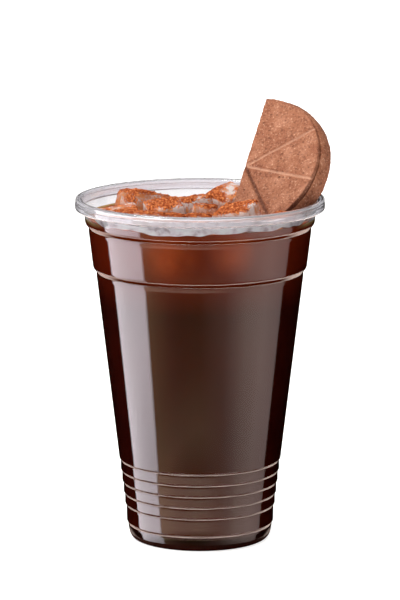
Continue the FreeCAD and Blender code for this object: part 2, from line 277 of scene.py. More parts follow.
foam = add_node(tree, "Math", {"operation": "MULTIPLY", 0: foam, 1: foam_edge}).outputs[0]
coffee_colour = add_node(tree, "Mix", {
    "data_type": "RGBA", 0: foam, 6: coffee_colour, 7: linear("#d4b67c")}).outputs[2]
coffee = add_node(tree, "BsdfPrincipled", {
    "Base Color": coffee_colour, "Roughness": 0.06, "IOR": 1.33, "Specular IOR Level": 0.03})
add_node(tree, "OutputMaterial", {"Surface": coffee.outputs[0]})
add_piece(coffee_mesh, black_coffee, "coffee", "coffee")

# --------------------------------------------------------------------------------------------------
# The ice. Moulded blocks of about 10 to 21 mm, their edges melted round and their faces dimpled, floating
# with their tops at about the rim's height. Cocoa sifted over them lies on what faces up.
# --------------------------------------------------------------------------------------------------
ICE_ROUND = 1.8  # how far melting has rounded the edges
ICE_GRID = 30  # points along each edge
# Middle (x, y, z), then length, width and height in millimetres, then yaw, pitch and roll in degrees.
ICE = np.array([
    (-22.1, 18.5, 125.8, 20.9, 19.6, 18.3, 24, 16, -10),
    (-31.4, -5.4, 124.8, 18.3, 16.6, 15.7, 8, -9, 6),
    (-15.5, -23.3, 126.0, 20.1, 18.3, 16.6, 17, 8, -7),
    (15.1, -20.7, 128.8, 16.6, 14.8, 15.7, -28, -9, 12),
    (-13.8, -0.5, 127.4, 15.7, 14.8, 14.8, 12, -7, 9),
    (1.7, -3.6, 127.1, 10.9, 10.5, 14.4, -4, 5, -5),
    (-8.5, 31.0, 123.1, 15.7, 14.4, 14.4, 32, 10, 8),
    (11.8, 25.5, 127.3, 15.7, 14.8, 16.6, 38, -16, 12),
    (28.3, 21.4, 126.0, 11.8, 11.3, 13.9, -20, 12, -8),
    (32.0, -19.7, 127.0, 10.0, 9.2, 12.2, -28, 10, 4),
    (-1.5, -36.0, 126.6, 11.3, 9.6, 12.2, 30, -6, 10),
    (-0.5, -18.0, 126.5, 10.5, 10.0, 12.6, 25, 8, -9),
    (-1.7, 10.6, 128.4, 13.5, 12.2, 13.1, 20, -8, -6),
    (16.1, -33.5, 126.3, 10.0, 8.7, 11.8, -25, 8, 8),
])


def turned_frame(yaw, pitch, roll):
    """The matrix that rolls about X, then pitches about Y, then yaws about Z."""
    angles = np.radians((yaw, pitch, roll))
    (cy, cp, cr), (sy, sp, sr) = np.cos(angles), np.sin(angles)
    about_z = np.array([[cy, -sy, 0], [sy, cy, 0], [0, 0, 1]])
    about_y = np.array([[cp, 0, sp], [0, 1, 0], [-sp, 0, cp]])
    about_x = np.array([[1, 0, 0], [0, cr, -sr], [0, sr, cr]])
    return about_z @ about_y @ about_x


def noise(points, size, seed):
    """Smooth random relief from -1 to 1: random values on a lattice of a size, blended by 3t^2 - 2t^3."""
    spot = np.asarray(points) / size
    cell = np.floor(spot).astype(np.int64)
    blend = spot - cell
    blend = blend * blend * (3 - 2 * blend)
    total = np.zeros(len(spot))
    for dx, dy, dz in np.ndindex(2, 2, 2):
        key = (cell[:, 0] + dx) * 73856093 ^ (cell[:, 1] + dy) * 19349663 ^ (cell[:, 2] + dz) * 83492791
        key = (key + seed * 7919) & 0x7FFFFFFF
        key = (key ^ (key >> 13)) * 1274126177 & 0x7FFFFFFF
        value = ((key ^ (key >> 16)) & 0xFFFF) / 32767.5 - 1
        weight = np.abs(1 - dx - blend[:, 0]) * np.abs(1 - dy - blend[:, 1]) * np.abs(1 - dz - blend[:, 2])
        total += value * weight
    return total


def block_grid(half, count):
    """Six square grids on a block's faces, spread by tan so that they bunch at the edges."""
    line = np.tan(np.linspace(-1, 1, count) * 0.9) / np.tan(0.9)
    u, v = (a.ravel() for a in np.meshgrid(line, line, indexing="ij"))
    sides = []
    for axis, sign in ((0, 1), (0, -1), (1, 1), (1, -1), (2, 1), (2, -1)):
        side_points = np.empty((count * count, 3))
        side_points[:, axis] = sign
        side_points[:, (axis + 1) % 3], side_points[:, (axis + 2) % 3] = u, v
        sides.append(side_points)
    row, col = np.meshgrid(np.arange(count - 1), np.arange(count - 1), indexing="ij")
    here = (row * count + col).ravel()
    quads = np.stack([here, here + 1, here + count + 1, here + count], -1)
    faces = np.concatenate([quads + k * count * count for k in range(6)])
    return np.concatenate(sides) * half, faces


def cocoa_cover(points, facing_up):
    """The share of a place that cocoa covers: patches of 1 to 12 mm, whole where it faces up, a dusting on
    sides, and none from 3 mm under the coffee's edge."""
    flat = points * (1, 1, 0)
    share = 0.80 + 0.55 * noise(flat, 12.0, 5) + 0.35 * noise(flat, 4.0, 6) + 0.15 * noise(flat, 1.3, 7)
    share = np.clip(share, 0, 1) * np.clip(facing_up * 1.5 + 0.15, 0.15, 1)
    return share * np.clip((points[:, 2] - LEVEL + 3.0) / 1.5, 0, 1)


def ice_block(row, seed):
    """A block's points: a box drawn in by its rounding, then out along its own normal; its top is drafted
    in by 6%; its faces are dented by relief; where it faces up, cocoa adds up to 0.8 mm."""
    middle, size, angles = ICE[row, :3], ICE[row, 3:6], ICE[row, 6:9]
    half = size / 2
    grid, faces = block_grid(half, ICE_GRID)
    core = np.clip(grid, -(half - ICE_ROUND), half - ICE_ROUND)
    out = grid - core
    out /= np.linalg.norm(out, axis=1)[:, None]
    points = core + out * ICE_ROUND
    points[:, :2] *= 1 - 0.06 * (points[:, 2:] / half[2] + 1) / 2
    matrix = turned_frame(*angles)
    points, normal = points @ matrix.T + middle, out @ matrix.T
    dent = 0.35 * noise(points, 7.0, seed) + 0.16 * noise(points, 2.6, seed + 1) - 0.3
    points = points + normal * dent[:, None]
    cover = cocoa_cover(points, normal[:, 2])
    lumps = 0.30 + 0.35 * noise(points, 0.9, seed + 2) + 0.25 * noise(points, 2.2, seed + 3)
    points[:, 2] += np.clip(lumps, 0, None) * np.clip(cover * 1.5 - 0.3, 0, 1) * 0.9
    return points, faces, cover


def cocoa_finish(tree, place):
    """Sifted cocoa: matt, fine and orange-brown, with pale and dark specks. Its grain is under 0.2 mm,
    drawn here at 0.8 mm so that it shows. Returns the specks and the shader."""
    specks = add_node(tree, "TexNoise", {
        "Vector": place, "Scale": 1 / (0.8 * MM), "Detail": 3.0, "Roughness": 0.7}).outputs[0]
    tone = add_node(tree, "ValToRGB", {
        "Fac": specks, "stops": [(0.36, "#491807"), (0.50, "#a84a21"), (0.63, "#e89458")]})
    lumps = add_node(tree, "Bump", {"Height": specks, "Strength": 1.0, "Distance": 0.8 * MM})
    return specks, add_node(tree, "BsdfPrincipled", {
        "Base Color": tone.outputs["Color"], "Roughness": 0.95, "Specular IOR Level": 0.15,
        "Normal": lumps.outputs["Normal"]})


# Melting ice is clear outside and milky with trapped air inside, in patches of 3.5 mm. Coffee soaks in and
# tints it amber, in patches of 11 mm. Where the "cocoa" attribute and the specks say so, cocoa covers it.
ice_material, tree = new_material("melting_ice_with_cocoa")
place = add_node(tree, "TexCoord", {}).outputs["Object"]
cocoa_at = add_node(tree, "Attribute", {"attribute_name": "cocoa"}).outputs["Fac"]
specks, cocoa_shader = cocoa_finish(tree, place)
patches = add_node(tree, "TexNoise", {"Vector": place, "Scale": 1 / (3.5 * MM), "Detail": 3.0}).outputs[0]
clumps = add_node(tree, "MapRange", {"Value": specks, "From Min": 0.3, "From Max": 0.7}).outputs[0]
edge = add_node(tree, "Math", {"operation": "MULTIPLY_ADD", 0: clumps, 1: 0.6, 2: cocoa_at}).outputs[0]
dusted = add_node(tree, "MapRange", {"Value": edge, "From Min": 0.62, "From Max": 0.78}).outputs[0]
milky = add_node(tree, "MapRange", {"Value": patches, "From Min": 0.35, "From Max": 0.65}).outputs[0]
ice_colour = add_node(tree, "ValToRGB", {"Fac": milky, "stops": [
    (0.0, "#dd9a68"), (0.2, "#dfbcae"), (0.45, "#e2d2cd"), (1.0, "#ece4e1")]}).outputs["Color"]
soaked = add_node(tree, "TexNoise", {"Vector": place, "Scale": 1 / (11 * MM), "Detail": 1.0}).outputs[0]
soaked = add_node(tree, "MapRange", {
    "Value": soaked, "From Min": 0.50, "From Max": 0.62, "To Max": 0.45}).outputs[0]
ice_colour = add_node(tree, "Mix", {
    "data_type": "RGBA", 0: soaked, 6: ice_colour, 7: linear("#dc8648")}).outputs[2]
ice_rough = add_node(tree, "MapRange", {"Value": milky, "To Min": 0.16, "To Max": 0.45}).outputs[0]
ice_bump = add_node(tree, "Bump", {"Height": patches, "Strength": 0.25, "Distance": 0.5 * MM})
ice_shader = add_node(tree, "BsdfPrincipled", {
    "Base Color": ice_colour, "Roughness": ice_rough, "IOR": 1.31, "Transmission Weight": 0.25,
    "Normal": ice_bump.outputs["Normal"]})
dusted_ice = add_node(tree, "MixShader", {
    0: dusted, 1: ice_shader.outputs[0], 2: cocoa_shader.outputs[0]})
add_node(tree, "OutputMaterial", {"Surface": dusted_ice.outputs[0]})

ice_beds = []
for number in range(len(ICE)):
    points, faces, cover = ice_block(number, 20 * number + 40)
    ice_beds.append(points[cover > 0.25][::3])
    block = make_mesh(f"ice_block_{number + 1}", points, faces)
    spots, normals = np.empty(len(block.vertices) * 3), np.empty(len(block.vertices) * 3)
    block.vertices.foreach_get("co", spots)
    block.vertex_normals.foreach_get("vector", normals)
    shade = block.attributes.new("cocoa", "FLOAT", "POINT")
    covered = cocoa_cover(spots.reshape(-1, 3) / MM, normals[2::3])
    shade.data.foreach_set("value", covered.astype(np.float32))
    add_piece(block, ice_material, "ice", f"ice_{number + 1}")

# --------------------------------------------------------------------------------------------------
# The slush. Where the blocks crowd the front of the cup, chips and melt freeze to the wall in a pale ragged
# band that hides the coffee's edge.
# --------------------------------------------------------------------------------------------------
SLUSH_FROM, SLUSH_TO = -153, -27  # bearings from +X in degrees
SLUSH_R = 44.0  # where its relief is worked out; the wall gives its real radius
slush_bearing = np.radians(np.linspace(SLUSH_FROM, SLUSH_TO, 420))
ring = np.stack([np.cos(slush_bearing), np.sin(slush_bearing), 0 * slush_bearing], -1) * SLUSH_R
from_end = np.minimum(slush_bearing - np.radians(SLUSH_FROM), np.radians(SLUSH_TO) - slush_bearing)
ends = np.clip(from_end / np.radians(6), 0, 1) ** 0.5
slush_low = LEVEL - 0.1 - 0.6 * noise(ring, 13.0, 501) - 0.7 * noise(ring, 4.5, 502)
slush_high = LEVEL + 4.4 + 0.8 * noise(ring, 9.0, 503)
mid_z, half_z = (slush_low + slush_high) / 2, (slush_high - slush_low) / 2 * ends
slush_angle = np.linspace(0, 2 * np.pi, 48, endpoint=False)


def wall_inside(z):
    """Radius of the wall's inner face at heights between the upper shoulder and the rim."""
    ledge_low, ledge_top = SHOULDER_Z[1] - 1, SHOULDER_Z[1] + SHOULDER_HALF
    radii = [cone(ledge_low, 1), cone(ledge_top, 2), cone(NECK_Z, 2), RIM_R - 2.55]
    return np.interp(z, [ledge_low, ledge_top, NECK_Z, CUP_TOP - 2.9], radii) - WALL


def slush_grid():
    """A flattened tube along the wall: outer side flush with the wall, inner side bulging in by up to
    5 mm."""
    turn_by, along = np.meshgrid(slush_angle, np.arange(len(slush_bearing)), indexing="ij")
    z = mid_z[along] + half_z[along] * np.sign(np.sin(turn_by)) * np.abs(np.sin(turn_by)) ** 0.6
    bulge = 3.2 + 1.4 * noise(ring, 6.0, 504)[along]
    bulge = bulge * np.clip(-np.cos(turn_by), 0, 1) ** 0.6 * ends[along]
    r = wall_inside(z) + WETTED + 0.05 - bulge
    points = np.stack([r * np.cos(slush_bearing[along]), r * np.sin(slush_bearing[along]), z], -1)
    flat = points.reshape(-1, 3)
    flat[:, 2] += 0.25 * noise(flat, 2.0, 505) * np.clip(bulge.ravel(), 0, 1)
    rows, cols = turn_by.shape
    row, col = np.meshgrid(np.arange(rows), np.arange(cols - 1), indexing="ij")
    here, below = row * cols + col, (row + 1) % rows * cols + col
    return flat, np.stack([here, below, below + 1, here + 1], -1).reshape(-1, 4)


# Slush is white with trapped air and takes a faint lilac grey from the plastic in front of it.
slush_ice, tree = new_material("slush_ice")
place = add_node(tree, "TexCoord", {}).outputs["Object"]
chips = add_node(tree, "TexNoise", {"Vector": place, "Scale": 1 / (3.5 * MM), "Detail": 4.0}).outputs[0]
slush_colour = add_node(tree, "ValToRGB", {
    "Fac": chips, "stops": [(0.34, "#c2b2b6"), (0.48, "#f6f0f3"), (0.60, "#ffffff")]}).outputs["Color"]
slush_bump = add_node(tree, "Bump", {"Height": chips, "Strength": 0.4, "Distance": 0.8 * MM})
slush = add_node(tree, "BsdfPrincipled", {
    "Base Color": slush_colour, "Roughness": 0.35, "IOR": 1.31, "Normal": slush_bump.outputs["Normal"]})
add_node(tree, "OutputMaterial", {"Surface": slush.outputs[0]})
add_piece(make_mesh("slush_at_wall", *slush_grid()), slush_ice, "ice")

# --------------------------------------------------------------------------------------------------
# The cocoa. Sifted over the top, it floats on the coffee in thin rafts between the blocks, and its coarser
# grains lie loose on the ice.
# --------------------------------------------------------------------------------------------------
RAFT_R = 43.6


def raft_grid(rings, spokes_count):
    """A disc of polar cells on the coffee: level - 0.05 mm, plus lumps where the cocoa lies. Bare cells are
    left out."""
    r_line, a_line = np.linspace(0.5, RAFT_R, rings), np.linspace(0, 2 * np.pi, spokes_count)
    r, a = np.meshgrid(r_line, a_line, indexing="ij")
    points = np.stack([r * np.cos(a), r * np.sin(a), np.full(r.shape, OPEN_Z)], -1).reshape(-1, 3)
    cover = cocoa_cover(points, np.ones(len(points))) - 0.25
    lumps = 0.5 + 0.5 * noise(points, 0.9, 601) + 0.4 * noise(points, 2.6, 602)
    points[:, 2] += np.clip(cover * 3, 0, 1) * (0.25 + 0.9 * np.clip(lumps, 0, None)) - 0.05
    row, col = np.meshgrid(np.arange(rings - 1), np.arange(spokes_count - 1), indexing="ij")
    here = (row * spokes_count + col).ravel()
    faces = np.stack([here, here + 1, here + spokes_count + 1, here + spokes_count], -1)
    keep = (cover[faces] > 0).any(axis=1).reshape(rings - 1, -1)
    for _ in range(3):
        # Cells that touch only at a corner get the cell between them, so that no point is pinched.
        beside = np.roll(keep, -1, axis=1)
        keep[:-1] |= np.roll(keep[:-1] & beside[1:] & ~beside[:-1] & ~keep[1:], 1, axis=1)
        beside = np.roll(keep, -1, axis=1)
        keep[:-1] |= beside[:-1] & keep[1:] & ~keep[:-1] & ~beside[1:]
    return points, faces[keep.ravel()]


cocoa_powder, tree = new_material("sifted_cocoa_powder")
cocoa_shader = cocoa_finish(tree, add_node(tree, "TexCoord", {}).outputs["Object"])[1]
add_node(tree, "OutputMaterial", {"Surface": cocoa_shader.outputs[0]})
raft_points, raft_faces = raft_grid(105, 350)
rafts = add_piece(make_mesh("cocoa_rafts", raft_points, raft_faces), cocoa_powder, "chocolate")
raft_depth = rafts.modifiers.new("raft_depth", "SOLIDIFY")
raft_depth.thickness, raft_depth.offset = 0.3 * MM, -1.0


def grains(places, seed):
    """Loose grains: eight-sided crumbs of 0.15 to 0.8 mm, each stretched and turned at random."""
    rng = np.random.default_rng(seed)
    count = len(places)
    corner = np.array([(1, 0, 0), (-1, 0, 0), (0, 1, 0), (0, -1, 0), (0, 0, 1), (0, 0, -1)], float)
    faces = np.array([
        (0, 2, 4), (2, 1, 4), (1, 3, 4), (3, 0, 4), (2, 0, 5), (1, 2, 5), (3, 1, 5), (0, 3, 5)])
    size = 0.10 + 0.22 * rng.random((count, 1, 1)) ** 2.5
    stretch = 0.7 + 0.6 * rng.random((count, 6, 3))
    angle = rng.random(count) * 2 * np.pi
    spin = np.stack([np.cos(angle), -np.sin(angle), np.sin(angle), np.cos(angle)], -1).reshape(-1, 2, 2)
    shape = corner * stretch * size
    shape[..., :2] = np.einsum("nij,nkj->nki", spin, shape[..., :2])
    points = (shape + places[:, None]).reshape(-1, 3)
    return points, (faces + 6 * np.arange(count)[:, None, None]).reshape(-1, 3)


GRAIN_COUNT = 9000
rng = np.random.default_rng(71)
beds = np.concatenate([*ice_beds, raft_points[np.unique(raft_faces)]])
picked = beds[rng.integers(0, len(beds), GRAIN_COUNT)]
picked = picked + rng.normal(0, 0.25, (GRAIN_COUNT, 3)) * (1, 1, 0.2) + (0, 0, 0.08)
inside = np.hypot(picked[:, 0], picked[:, 1]) < RAFT_R
grain_points, grain_faces = grains(picked[inside], 72)
add_piece(make_mesh("cocoa_grains", grain_points, grain_faces), cocoa_powder, "chocolate")

# --------------------------------------------------------------------------------------------------
# The chocolate. Half of a round disc of stone-ground chocolate, cast in a tray mould that scores it into
# wedges. It is grainy with sugar and its rim is drafted. It stands among the ice and leans on the cup's rim.
# --------------------------------------------------------------------------------------------------
DISC_R, DISC_T = 33.2, 9.0
FACE_R = DISC_R - 1.9
FACE_EDGE_R = FACE_R - 0.35  # where the scored face starts to round over
BACK_R = DISC_R - 1.6  # where the back's rounded edge ends
# Three grooves, 43.75 degrees apart: their angles in the disc's plane and how deep each is.
SCORES = np.radians(90 + 34.5 - 43.75 * np.arange(3))
SCORE_DEEP = (0.45, 0.6, 1.05)
# The middle of the whole disc's back, and its roll, lean and turn in degrees.
DISC_PLACE = np.array([21.6, 15.4, 141.57])
DISC_ROLL, DISC_LEAN, DISC_TURN = -85.4, 50.9, -32.8


def disc_frame():
    """Turns the disc as it stands: in its own plane, then leaning back, then round to its bearing."""
    return turned_frame(DISC_TURN, 0, 0) @ turned_frame(0, 0, DISC_LEAN) @ turned_frame(DISC_ROLL, 0, 0)


def face_height(x, y):
    """Height of the scored face: level, with V grooves 2 mm wide along three radii, shallow at the middle.
    The mould is worn, so each groove has its own depth."""
    z = np.full(x.shape, DISC_T)
    for angle, deep in zip(SCORES, SCORE_DEEP):
        off = np.abs(-x * np.sin(angle) + y * np.cos(angle))
        along = x * np.cos(angle) + y * np.sin(angle)
        depth = deep * np.clip(1.05 - np.sqrt(off**2 + 0.15**2), 0, None)
        z = np.minimum(z, DISC_T - depth * np.clip(0.25 + along / 4, 0, 1) * (along > -0.4))
    return z


def crumble(points):
    """Moves points by grainy relief that depends on their place alone, so that shared edges stay joined."""
    shift = [noise(points, 0.9, seed) * 0.10 + noise(points, 2.8, seed + 3) * 0.10
             for seed in (301, 302, 303)]
    return points + np.stack(shift, -1)


def grid_faces(rows, cols, start=0):
    """Four-sided faces of a grid of rows by cols points, numbered from start."""
    row, col = np.meshgrid(np.arange(rows - 1), np.arange(cols - 1), indexing="ij")
    here = (row * cols + col).ravel() + start
    return np.stack([here, here + 1, here + cols + 1, here + cols], -1)


spokes = np.linspace(0, np.pi, 260)
face_r = np.linspace(0, FACE_EDGE_R, 90)
# Down the side: over the face's edge, down to its ledge, out along it, and down to the back.
rim_profile = soften([
    (FACE_EDGE_R, DISC_T, 0), (FACE_R, DISC_T - 0.12, 0.4), (FACE_R - 0.1, DISC_T - 2.1, 0.3),
    (FACE_R + 0.5, DISC_T - 1.8, 0.4), (DISC_R - 0.25, 5.0, 3.0), (DISC_R, 3.0, 1.5), (DISC_R, 0.6, 0.6),
    (DISC_R - 0.9, 0.0, 0.5), (BACK_R, 0.0, 0)], 7)
back_r = face_r[::-1] * BACK_R / face_r[-1]
R, A = np.meshgrid(face_r, spokes, indexing="ij")
front_sheet = np.stack([R * np.cos(A), R * np.sin(A), face_height(R * np.cos(A), R * np.sin(A))], -1)
R, A = np.meshgrid(rim_profile[:, 0], spokes, indexing="ij")
# A groove runs out through the face's edge, and fades over the 1.75 mm down to the ledge.
groove_drop = DISC_T - face_height(FACE_EDGE_R * np.cos(spokes), FACE_EDGE_R * np.sin(spokes))
profile_z = rim_profile[:, 1][:, None]
rim_z = profile_z - groove_drop[None] * np.clip((profile_z - 7.25) / 1.75, 0, 1)
rim_sheet = np.stack([R * np.cos(A), R * np.sin(A), rim_z], -1)
R, A = np.meshgrid(back_r, spokes, indexing="ij")
back_sheet = np.stack([R * np.cos(A), R * np.sin(A), 0 * R], -1)
round_part = np.concatenate([front_sheet, rim_sheet[1:], back_sheet[1:]])

# The broken edge fills the flat side: columns at the face's own radii, and a row for each point of the
# side's profile, so that its border is the round part's border. Between the ends, the rows share out the
# thickness evenly.
across = np.r_[-face_r[:0:-1], face_r] / face_r[-1]
steps_down = np.hypot(*np.diff(rim_profile, axis=0).T)
share_down = np.r_[0, np.cumsum(steps_down)] / steps_down.sum()
U, W = np.meshgrid(across, share_down, indexing="ij")
top_z = face_height(across * face_r[-1], 0 * across)
broken_x = U * rim_profile[:, 0]
broken_z = top_z[:, None] * (1 - W)
broken_z += (rim_profile[:, 1] - broken_z) * np.abs(U) ** 40
broken = np.stack([broken_x, 0 * U, broken_z], -1)
bite = np.sin(np.pi * W) * (1 - np.abs(U) ** 6)
broken_flat = broken.reshape(-1, 3)
rough = 0.35 * noise(broken_flat, 1.6, 311) + 0.45 * noise(broken_flat, 5.0, 312)
broken_flat[:, 1] += rough * np.clip(bite.ravel(), 0, 1) ** 0.5
disc_points = np.concatenate([round_part.reshape(-1, 3), broken_flat])
disc_faces = np.concatenate([
    grid_faces(len(round_part), len(spokes)),
    grid_faces(*U.shape, len(round_part) * len(spokes))])
disc_points = crumble(disc_points) @ disc_frame().T + DISC_PLACE
disc_mesh = make_mesh("scored_half_disc", disc_points, disc_faces)


def marks(points):
    """Painted light and shade from 0 to 1 in the disc's own place: 0.5 plain, a painted highlight in the
    first two grooves and painted shade in the third, and painted shade where the face steps down to its
    ledge and on the drafted side below it, most towards the low end."""
    x, y, z = points.T
    r = np.hypot(x, y)
    tone = np.full(len(x), 0.5)
    for angle, painted_light in zip(SCORES, (0.85, 1.0, 0.15)):
        off = np.abs(-x * np.sin(angle) + y * np.cos(angle))
        along = x * np.cos(angle) + y * np.sin(angle)
        inside = np.clip(1.4 - off / 0.6, 0, 1) * (along > 0.5) * (r < FACE_R) * (z > DISC_T - 1.5)
        tone += (painted_light - 0.5) * inside
    low_end = np.clip(1.5 - np.arctan2(y, x) / 1.4, 0.1, 1)
    tone -= 0.5 * low_end * np.clip(1.5 - np.abs(r - FACE_R - 0.1) / 0.32, 0, 1) * (z > DISC_T - 2.8)
    return tone - (0.08 + 0.14 * low_end) * np.clip((r - FACE_R - 0.6) / 0.5, 0, 1) * (y > 1)


# The painted light and shade is stored on the mesh as a point attribute.
spots = np.empty(len(disc_mesh.vertices) * 3)
disc_mesh.vertices.foreach_get("co", spots)
own_place = (spots.reshape(-1, 3) / MM - DISC_PLACE) @ disc_frame()
shade = disc_mesh.attributes.new("marks", "FLOAT", "POINT")
shade.data.foreach_set("value", np.clip(marks(own_place), 0, 1).astype(np.float32))

# Stone-ground chocolate is matt and dusty on the outside, with pale sugar grains and a few dark pits in a
# warm milk-brown ground. The grains are about 0.4 mm, drawn here at 0.8 mm so that they show.
ground_chocolate, tree = new_material("stone_ground_chocolate")
place = add_node(tree, "TexCoord", {}).outputs["Object"]
ground = add_node(tree, "TexNoise", {"Vector": place, "Scale": 1 / (6 * MM), "Detail": 5.0}).outputs[0]
grain = add_node(tree, "TexNoise", {"Vector": place, "Scale": 1 / (0.8 * MM), "Detail": 3.0}).outputs[0]
sugar = add_node(tree, "TexVoronoi", {"Vector": place, "Scale": 1 / (1.7 * MM)}).outputs["Distance"]
tone = add_node(tree, "ValToRGB", {"Fac": grain, "stops": [
    (0.32, "#4a2010"), (0.45, "#93573a"), (0.60, "#a66a4a"), (0.72, "#e0b294")]}).outputs["Color"]
cast = add_node(tree, "ValToRGB", {
    "Fac": ground, "stops": [(0.34, "#7f452b"), (0.52, "#9a6143"), (0.66, "#b87f62")]}).outputs["Color"]
tone = add_node(tree, "Mix", {"data_type": "RGBA", 0: 0.5, 6: tone, 7: cast}).outputs[2]
pit_place = add_node(tree, "TexVoronoi", {"Vector": place, "Scale": 1 / (2.6 * MM)}).outputs["Distance"]
pits = add_node(tree, "MapRange", {
    "Value": pit_place, "From Min": 0.22, "From Max": 0.10, "To Min": 0.0, "To Max": 0.6}).outputs[0]
tone = add_node(tree, "Mix", {"data_type": "RGBA", 0: pits, 6: tone, 7: linear("#5a2a17")}).outputs[2]
# Painted light and shade from the attribute: a painted highlight in two grooves, and painted shade in the
# third, at the face's step and on the drafted side below it.
light_and_shade_mark = add_node(tree, "Attribute", {"attribute_name": "marks"}).outputs["Fac"]
painted_light = add_node(tree, "MapRange", {"Value": light_and_shade_mark, "From Min": 0.5, "To Max": 0.6}).outputs[0]
tone = add_node(tree, "Mix", {"data_type": "RGBA", 0: painted_light, 6: tone, 7: linear("#d2a084")}).outputs[2]
painted_shade = add_node(tree, "MapRange", {
    "Value": light_and_shade_mark, "From Min": 0.5, "From Max": 0.0, "To Max": 0.9}).outputs[0]
tone = add_node(tree, "Mix", {"data_type": "RGBA", 0: painted_shade, 6: tone, 7: linear("#43180c")}).outputs[2]
sugar_spot = add_node(tree, "MapRange", {
    "Value": sugar, "From Min": 0.16, "From Max": 0.06, "To Min": 0.0, "To Max": 0.55}).outputs[0]
tone = add_node(tree, "Mix", {"data_type": "RGBA", 0: sugar_spot, 6: tone, 7: linear("#e3b397")}).outputs[2]
surface = add_node(tree, "Math", {"operation": "MULTIPLY_ADD", 0: pits, 1: -0.6, 2: grain}).outputs[0]
grain_bump = add_node(tree, "Bump", {"Height": surface, "Strength": 0.9, "Distance": 0.5 * MM})
chocolate = add_node(tree, "BsdfPrincipled", {
    "Base Color": tone, "Roughness": 0.72, "Specular IOR Level": 0.35,
    "Normal": grain_bump.outputs["Normal"]})
add_node(tree, "OutputMaterial", {"Surface": chocolate.outputs[0]})
add_piece(disc_mesh, ground_chocolate, "chocolate", "chocolate_half")

# --------------------------------------------------------------------------------------------------
# The studio: a white table, a tall soft box on the left whose edge shows in the wall, a broad dimmer one on
# the right, a soft light overhead, and white all round. Clear plastic shows what is round it both mirrored
# and seen through, so the world has its own picture for each kind of ray.
# --------------------------------------------------------------------------------------------------
table_mesh = bpy.data.meshes.new("table_top")
table_mesh.from_pydata([(-3, -3, 0), (3, -3, 0), (3, 3, 0), (-3, 3, 0)], [], [(0, 1, 2, 3)])
table = bpy.data.objects.new("table_top", table_mesh)
bpy.context.collection.objects.link(table)
table.visible_glossy = False
table.visible_transmission = False

# The table just round the foot lies in the cup's own shadow. Only mirror rays see this dark patch, which
# keeps the foot from mirroring a bright table there.
SHADE_R, SHADE_Z = 30.2, 0.1
shade_points, shade_faces = turn(np.array([(0.0, SHADE_Z), (SHADE_R, SHADE_Z)]), 96)
shaded_patch = bpy.data.objects.new("table_shade", make_mesh("table_shade", shade_points, shade_faces))
bpy.context.collection.objects.link(shaded_patch)
shaded_patch.visible_camera = shaded_patch.visible_diffuse = False
shaded_patch.visible_transmission = shaded_patch.visible_shadow = False
shaded_board, tree = new_material("board_in_shade")
board = add_node(tree, "BsdfPrincipled", {"Base Color": linear("#4a2a1c"), "Roughness": 0.9})
add_node(tree, "OutputMaterial", {"Surface": board.outputs[0]})
shaded_patch.data.materials.append(shaded_board)

white_board, tree = new_material("matt_white_board")
board = add_node(tree, "BsdfPrincipled", {
    "Base Color": linear("#f4f3f1"), "Roughness": 0.9, "Emission Color": linear("#ffffff"),
    "Emission Strength": 0.7})
add_node(tree, "OutputMaterial", {"Surface": board.outputs[0]})
table_mesh.materials.append(white_board)

BOX_LIGHT, ROOM_LIGHT = 8.0, 2.5
TABLE_LIGHT_FRONT, TABLE_LIGHT_BACK = 10.5, 1.6
world = bpy.data.worlds.new("studio")
bpy.context.scene.world = world
world.use_nodes = True
world.cycles.sampling_method = "NONE"
tree = world.node_tree
tree.nodes.clear()
direction = add_node(tree, "TexCoord", {}).outputs["Generated"]
axis = add_node(tree, "SeparateXYZ", {"Vector": direction})

# A ray's bearing runs from 0 at the back, round by the left, to 0.5 at the front and on by the right to 1.
# Its rise runs from 0 straight down to 1 straight up.
toward = add_node(tree, "Math", {"operation": "MULTIPLY", 0: axis.outputs["Y"], 1: -1.0}).outputs[0]
bearing = add_node(tree, "Math", {"operation": "ARCTAN2", 0: axis.outputs["X"], 1: toward}).outputs[0]
bearing = add_node(tree, "MapRange", {
    "Value": bearing, "From Min": -np.pi, "From Max": np.pi}).outputs[0]
rise = add_node(tree, "MapRange", {
    "Value": axis.outputs["Z"], "From Min": -1.0, "From Max": 1.0}).outputs[0]

# Mirrored: the soft boxes by bearing, the left one even with a sharp edge and the right one graded. Both
# fade out below level, and are dimmer above it.
boxes = add_node(tree, "ValToRGB", {"Fac": bearing, "stops": [
    (0.183, "#000000"), (0.190, "#e9e0e6"), (0.314, "#e9e0e6"), (0.323, "#62523e"), (0.35, "#544634"),
    (0.40, "#382e22"), (0.44, "#262416"), (0.50, "#262516"), (0.58, "#54463e"), (0.66, "#84756e"),
    (0.72, "#8c7c76"), (0.797, "#6d5f5c"), (0.805, "#000000")]}).outputs["Color"]
level_part = add_node(tree, "ValToRGB", {"Fac": rise, "stops": [
    (0.16, "#000000"), (0.31, "#ffffff"), (0.62, "#ffffff"), (0.75, "#555555")]}).outputs["Color"]
boxes = add_node(tree, "Mix", {
    "data_type": "RGBA", "blend_type": "MULTIPLY", 0: 1.0, 6: boxes, 7: level_part}).outputs[2]
boxes = add_node(tree, "VectorMath", {"operation": "SCALE", "Vector": boxes, "Scale": BOX_LIGHT}).outputs[0]

